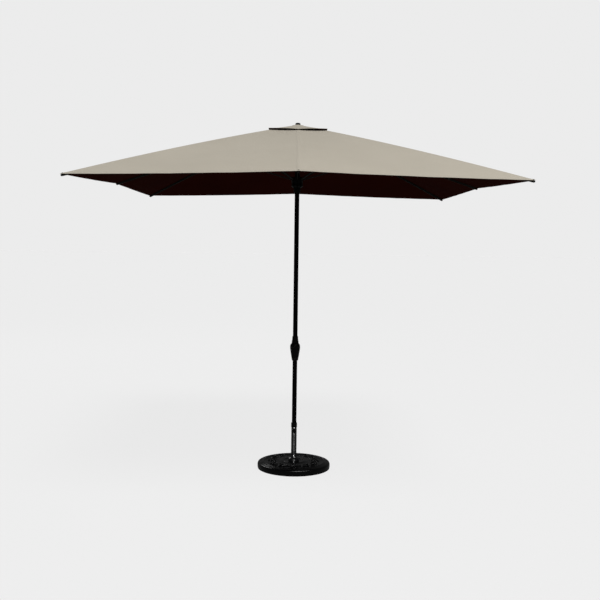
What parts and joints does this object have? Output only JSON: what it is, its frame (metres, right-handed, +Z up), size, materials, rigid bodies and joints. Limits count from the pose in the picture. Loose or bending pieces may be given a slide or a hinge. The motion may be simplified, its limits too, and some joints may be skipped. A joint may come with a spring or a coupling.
{
  "type": "patio umbrella with base",
  "caption": "Rectangular vented patio umbrella with a crank lift, on a pole held in a round weighted base.",
  "frame": {"origin": "on the ground under the middle of the pole", "axes": "+Z up the pole, +X along the canopy's shorter side, +Y along its longer side; the crank and the clamp knob face -Y"},
  "size_m": [2.5, 3, 2.4],
  "materials": {
    "canopy_fabric": "matte",
    "pole_metal": "satin",
    "frame_metal": "satin",
    "black_plastic": "satin",
    "base_shell": "gloss",
    "base_core": "matte",
    "bare_steel": "satin",
    "lift_cord": "matte"
  },
  "bodies": {
    "base": {"base_cover": "base_shell", "base_weight": "base_core", "stem_flange": "black_plastic", "stem_tube": "pole_metal", "stem_cap": "black_plastic", "clamp_boss": "pole_metal", "stem_nut": "bare_steel"},
    "clamp_screw": {"clamp_screw": "bare_steel"},
    "clamp_knob": {"clamp_knob": "black_plastic"},
    "bush": {"pole_bush": "black_plastic"},
    "mast": {"lower_pole": "pole_metal", "upper_pole": "pole_metal", "pole_plug": "black_plastic", "housing_front": "black_plastic", "housing_rear": "black_plastic", "housing_collar": "black_plastic", "housing_screw_left": "bare_steel", "housing_screw_right": "bare_steel", "top_hub": "black_plastic", "hub_ring": "bare_steel", "pulley_axle": "bare_steel", "finial": "black_plastic", "lift_cord": "lift_cord", "vent_crown": "canopy_fabric"},
    "pulley": {"cord_pulley": "black_plastic"},
    "crank": {"crank_axle": "bare_steel", "cord_spool": "black_plastic", "crank_arm": "black_plastic"},
    "grip": {"crank_grip": "black_plastic"},
    "runner": {"runner_block": "black_plastic", "runner_ring": "bare_steel", "runner_sleeve": "black_plastic"},
    "rib_right": {"rib_right": "frame_metal", "gore_right": "canopy_fabric"},
    "strut_right": {"strut_right": "frame_metal"},
    "rib_back_right": {"rib_back_right": "frame_metal", "gore_back_right": "canopy_fabric", "vent_back_right": "canopy_fabric"},
    "strut_back_right": {"strut_back_right": "frame_metal"},
    "rib_back": {"rib_back": "frame_metal", "gore_back": "canopy_fabric"},
    "strut_back": {"strut_back": "frame_metal"},
    "rib_back_left": {"rib_back_left": "frame_metal", "gore_back_left": "canopy_fabric", "vent_back_left": "canopy_fabric"},
    "strut_back_left": {"strut_back_left": "frame_metal"},
    "rib_left": {"rib_left": "frame_metal", "gore_left": "canopy_fabric"},
    "strut_left": {"strut_left": "frame_metal"},
    "rib_front_left": {"rib_front_left": "frame_metal", "gore_front_left": "canopy_fabric", "vent_front_left": "canopy_fabric"},
    "strut_front_left": {"strut_front_left": "frame_metal"},
    "rib_front": {"rib_front": "frame_metal", "gore_front": "canopy_fabric"},
    "strut_front": {"strut_front": "frame_metal"},
    "rib_front_right": {"rib_front_right": "frame_metal", "gore_front_right": "canopy_fabric", "vent_front_right": "canopy_fabric"},
    "strut_front_right": {"strut_front_right": "frame_metal"}
  },
  "joints": [
    {"name": "clamp_turn", "type": "hinge", "parent": "clamp_screw", "child": "clamp_knob", "pos_m": [0, -0.04, 0.268], "axis": [0, 1, 0], "range_deg": [0, 1080]},
    {"name": "clamp_travel", "type": "slide", "parent": "base", "child": "clamp_screw", "axis": [0, -1, 0], "range_m": [0, 0.00375]},
    {"name": "mast_turn", "type": "hinge", "parent": "base", "child": "bush", "pos_m": [0, 0, 0.18], "axis": [0, 0, 1], "continuous": true},
    {"name": "mast_lift", "type": "slide", "parent": "bush", "child": "mast", "axis": [0, 0, 1], "range_m": [0, 0.2]},
    {"name": "runner_slide", "type": "slide", "parent": "mast", "child": "runner", "axis": [0, 0, -1], "range_m": [0, 0.837], "deforming": ["gore_right", "gore_back_right", "gore_back", "gore_back_left", "gore_left", "gore_front_left", "gore_front", "gore_front_right", "vent_back_right", "vent_back_left", "vent_front_left", "vent_front_right", "lift_cord"]},
    {"name": "crank_turn", "type": "hinge", "parent": "mast", "child": "crank", "pos_m": [0, 0, 0.853], "axis": [0, -1, 0], "range_deg": [0, 5760]},
    {"name": "grip_spin", "type": "hinge", "parent": "crank", "child": "grip", "pos_m": [0.00654, -0.07, 0.77829], "axis": [0, -1, 0], "continuous": true},
    {"name": "pulley_turn", "type": "hinge", "parent": "mast", "child": "pulley", "pos_m": [0.00859, 0.004, 2.31], "axis": [-0.4226, 0.9063, 0], "range_deg": [0, 5760]},
    {"name": "rib_right_fold", "type": "hinge", "parent": "mast", "child": "rib_right", "pos_m": [0.032, 0, 2.369], "axis": [0, 1, 0], "range_deg": [0, 65.86]},
    {"name": "strut_right_fold", "type": "hinge", "parent": "rib_right", "child": "strut_right", "pos_m": [0.60585, 0, 2.181], "axis": [0, 1, 0], "range_deg": [-133.22, 0]},
    {"name": "rib_back_right_fold", "type": "hinge", "parent": "mast", "child": "rib_back_right", "pos_m": [0.02049, 0.02458, 2.369], "axis": [-0.7682, 0.6402, 0], "range_deg": [0, 72.38]},
    {"name": "strut_back_right_fold", "type": "hinge", "parent": "rib_back_right", "child": "strut_back_right", "pos_m": [0.38577, 0.46293, 2.25161], "axis": [-0.7682, 0.6402, 0], "range_deg": [-133.79, 0]},
    {"name": "rib_back_fold", "type": "hinge", "parent": "mast", "child": "rib_back", "pos_m": [0, 0.032, 2.369], "axis": [-1, 0, 0], "range_deg": [0, 69.02]},
    {"name": "strut_back_fold", "type": "hinge", "parent": "rib_back", "child": "strut_back", "pos_m": [0, 0.60525, 2.21563], "axis": [-1, 0, 0], "range_deg": [-133.44, 0]},
    {"name": "rib_back_left_fold", "type": "hinge", "parent": "mast", "child": "rib_back_left", "pos_m": [-0.02049, 0.02458, 2.369], "axis": [-0.7682, -0.6402, 0], "range_deg": [0, 72.38]},
    {"name": "strut_back_left_fold", "type": "hinge", "parent": "rib_back_left", "child": "strut_back_left", "pos_m": [-0.38577, 0.46293, 2.25161], "axis": [-0.7682, -0.6402, 0], "range_deg": [-133.79, 0]},
    {"name": "rib_left_fold", "type": "hinge", "parent": "mast", "child": "rib_left", "pos_m": [-0.032, 0, 2.369], "axis": [0, -1, 0], "range_deg": [0, 65.86]},
    {"name": "strut_left_fold", "type": "hinge", "parent": "rib_left", "child": "strut_left", "pos_m": [-0.60585, 0, 2.181], "axis": [0, -1, 0], "range_deg": [-133.22, 0]},
    {"name": "rib_front_left_fold", "type": "hinge", "parent": "mast", "child": "rib_front_left", "pos_m": [-0.02049, -0.02458, 2.369], "axis": [0.7682, -0.6402, 0], "range_deg": [0, 72.38]},
    {"name": "strut_front_left_fold", "type": "hinge", "parent": "rib_front_left", "child": "strut_front_left", "pos_m": [-0.38577, -0.46293, 2.25161], "axis": [0.7682, -0.6402, 0], "range_deg": [-133.79, 0]},
    {"name": "rib_front_fold", "type": "hinge", "parent": "mast", "child": "rib_front", "pos_m": [0, -0.032, 2.369], "axis": [1, 0, 0], "range_deg": [0, 69.02]},
    {"name": "strut_front_fold", "type": "hinge", "parent": "rib_front", "child": "strut_front", "pos_m": [0, -0.60525, 2.21563], "axis": [1, 0, 0], "range_deg": [-133.44, 0]},
    {"name": "rib_front_right_fold", "type": "hinge", "parent": "mast", "child": "rib_front_right", "pos_m": [0.02049, -0.02458, 2.369], "axis": [0.7682, 0.6402, 0], "range_deg": [0, 72.38]},
    {"name": "strut_front_right_fold", "type": "hinge", "parent": "rib_front_right", "child": "strut_front_right", "pos_m": [0.38577, -0.46293, 2.25161], "axis": [0.7682, 0.6402, 0], "range_deg": [-133.79, 0]}
  ],
  "couplings": [
    {"joint": "clamp_travel", "follows": "clamp_turn", "m_per_rad": 0.00019894},
    {"joint": "crank_turn", "follows": "runner_slide", "rad_per_m": 120.11},
    {"joint": "pulley_turn", "follows": "runner_slide", "rad_per_m": 120.11},
    {"joint": "rib_right_fold", "follows": "runner_slide", "rad_per_m": 1.3733},
    {"joint": "strut_right_fold", "follows": "runner_slide", "rad_per_m": -2.7778},
    {"joint": "rib_back_right_fold", "follows": "runner_slide", "rad_per_m": 1.5092},
    {"joint": "strut_back_right_fold", "follows": "runner_slide", "rad_per_m": -2.7897},
    {"joint": "rib_back_fold", "follows": "runner_slide", "rad_per_m": 1.4393},
    {"joint": "strut_back_fold", "follows": "runner_slide", "rad_per_m": -2.7826},
    {"joint": "rib_back_left_fold", "follows": "runner_slide", "rad_per_m": 1.5092},
    {"joint": "strut_back_left_fold", "follows": "runner_slide", "rad_per_m": -2.7897},
    {"joint": "rib_left_fold", "follows": "runner_slide", "rad_per_m": 1.3733},
    {"joint": "strut_left_fold", "follows": "runner_slide", "rad_per_m": -2.7778},
    {"joint": "rib_front_left_fold", "follows": "runner_slide", "rad_per_m": 1.5092},
    {"joint": "strut_front_left_fold", "follows": "runner_slide", "rad_per_m": -2.7897},
    {"joint": "rib_front_fold", "follows": "runner_slide", "rad_per_m": 1.4393},
    {"joint": "strut_front_fold", "follows": "runner_slide", "rad_per_m": -2.7826},
    {"joint": "rib_front_right_fold", "follows": "runner_slide", "rad_per_m": 1.5092},
    {"joint": "strut_front_right_fold", "follows": "runner_slide", "rad_per_m": -2.7897}
  ]
}
